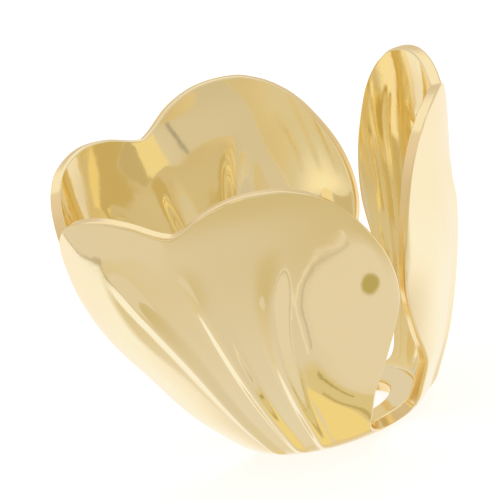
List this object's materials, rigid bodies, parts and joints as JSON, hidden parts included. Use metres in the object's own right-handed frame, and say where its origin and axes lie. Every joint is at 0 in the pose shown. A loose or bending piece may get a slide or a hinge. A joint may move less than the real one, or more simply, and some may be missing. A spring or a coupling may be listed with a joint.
{
  "type": "bead cap",
  "caption": "Tulip-shaped metal bead cap: two-lobed petals with raised veins and keyhole slots rise from a flat base plate with a threading hole.",
  "frame": {"origin": "centre of the threading hole on the plane that the cap stands on", "axes": "+Z along the threading hole from the base to the mouth; +X through the middle of a slot between two petals"},
  "size_m": [0.014, 0.0144, 0.0108],
  "materials": {
    "plated_brass": "pale gold plating polished to a mirror"
  },
  "bodies": {
    "root": {"bead_cap": "plated_brass"}
  },
  "joints": []
}
